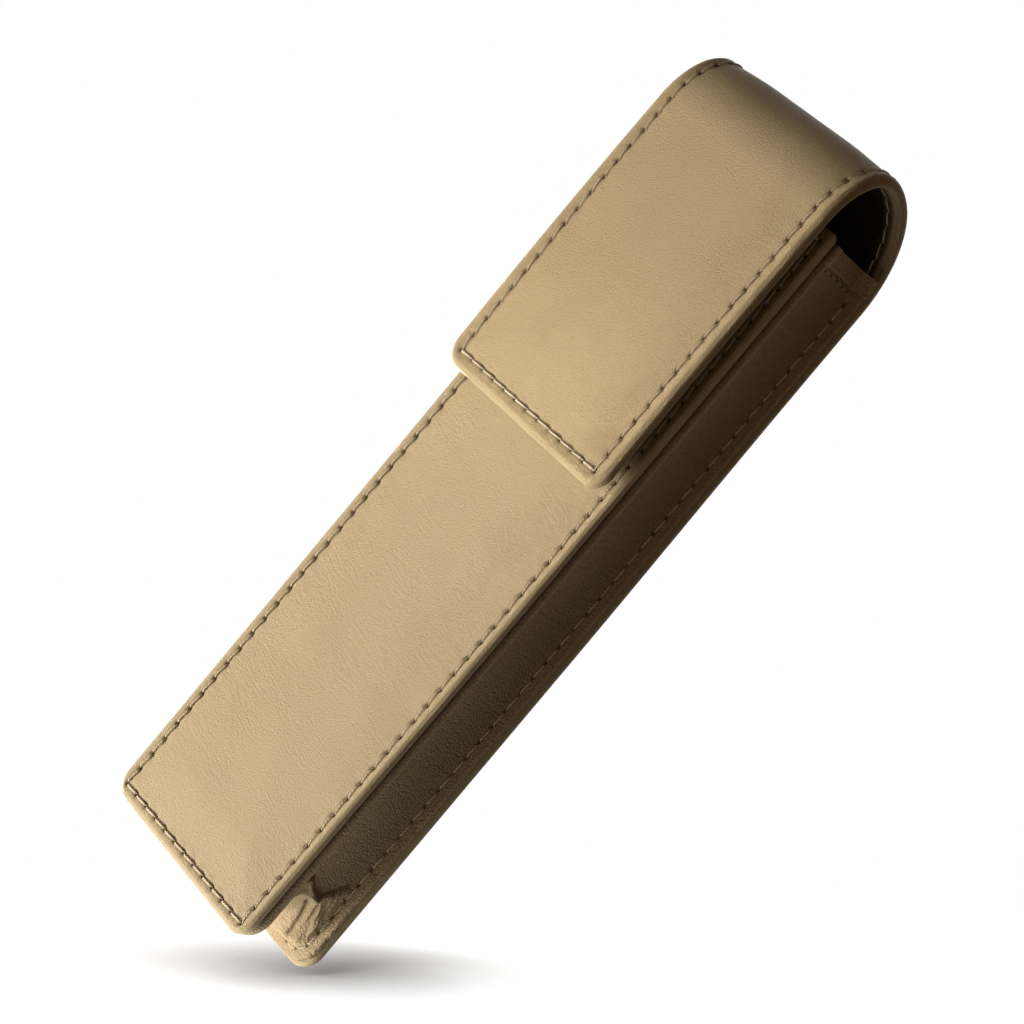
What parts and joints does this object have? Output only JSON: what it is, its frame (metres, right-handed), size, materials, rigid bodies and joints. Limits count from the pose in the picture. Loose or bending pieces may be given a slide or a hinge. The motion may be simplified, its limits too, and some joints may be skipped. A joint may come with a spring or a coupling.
{
  "type": "double pen case",
  "caption": "Slim stitched leather case for two pens side by side, with a flap that folds over the mouth and closes on a magnetic snap.",
  "frame": {"origin": "under the middle of the bounding box, on the surface that the case stands on", "axes": "+Z along the case from its base to the crown over its mouth, -Y out of the front panel and the flap, +X to the right seen from the front"},
  "size_m": [0.047, 0.0244, 0.166],
  "materials": {
    "leather": "fine pebble grain with a low satin sheen",
    "gusset_leather": "thin leather, low sheen",
    "board": "dull fibre board",
    "lining": "dark napped lining",
    "thread": "twisted sewing thread",
    "brass": "polished",
    "magnet": "dark plated ferrite",
    "steel": "plain stamped steel"
  },
  "bodies": {
    "case": {"front_leather": "leather", "front_board": "board", "front_lining": "lining", "front_seam_thread": "thread", "back_leather": "leather", "back_board": "board", "back_lining": "lining", "back_seam_thread": "thread", "gusset_right": "gusset_leather", "gusset_left": "gusset_leather", "gusset_base": "gusset_leather", "gusset_corner_right": "gusset_leather", "gusset_corner_left": "gusset_leather", "gusset_hem_right": "gusset_leather", "gusset_hem_left": "gusset_leather", "pocket_divider": "lining", "snap_cup": "brass", "snap_magnet": "magnet", "snap_front_washer": "steel"},
    "crown_1": {"crown_leather_1": "leather", "crown_reinforcement_1": "board", "crown_lining_1": "lining", "crown_seam_thread_1_right": "thread", "crown_seam_thread_1_left": "thread"},
    "crown_2": {"crown_leather_2": "leather", "crown_reinforcement_2": "board", "crown_lining_2": "lining", "crown_seam_thread_2_right": "thread", "crown_seam_thread_2_left": "thread"},
    "crown_3": {"crown_leather_3": "leather", "crown_reinforcement_3": "board", "crown_lining_3": "lining", "crown_seam_thread_3_right": "thread", "crown_seam_thread_3_left": "thread"},
    "flap": {"flap_leather": "leather", "flap_board": "board", "flap_lining": "lining", "flap_seam_thread": "thread", "snap_stud": "brass", "snap_flap_washer": "steel"}
  },
  "joints": [
    {"name": "fold_1", "type": "hinge", "parent": "case", "child": "crown_1", "pos_m": [0, 0.01036, 0.15547], "axis": [-1, 0, 0], "range_deg": [0, 45]},
    {"name": "fold_2", "type": "hinge", "parent": "crown_1", "child": "crown_2", "pos_m": [0, 0.00148, 0.16505], "axis": [-1, 0, 0], "range_deg": [0, 45]},
    {"name": "fold_3", "type": "hinge", "parent": "crown_2", "child": "crown_3", "pos_m": [0, -0.00568, 0.1655], "axis": [-1, 0, 0], "range_deg": [0, 45]},
    {"name": "fold_4", "type": "hinge", "parent": "crown_3", "child": "flap", "pos_m": [0, -0.01092, 0.15967], "axis": [-1, 0, 0], "range_deg": [0, 45]}
  ],
  "couplings": [
    {"joint": "fold_2", "follows": "fold_1", "ratio": 1},
    {"joint": "fold_3", "follows": "fold_1", "ratio": 1},
    {"joint": "fold_4", "follows": "fold_1", "ratio": 1}
  ]
}
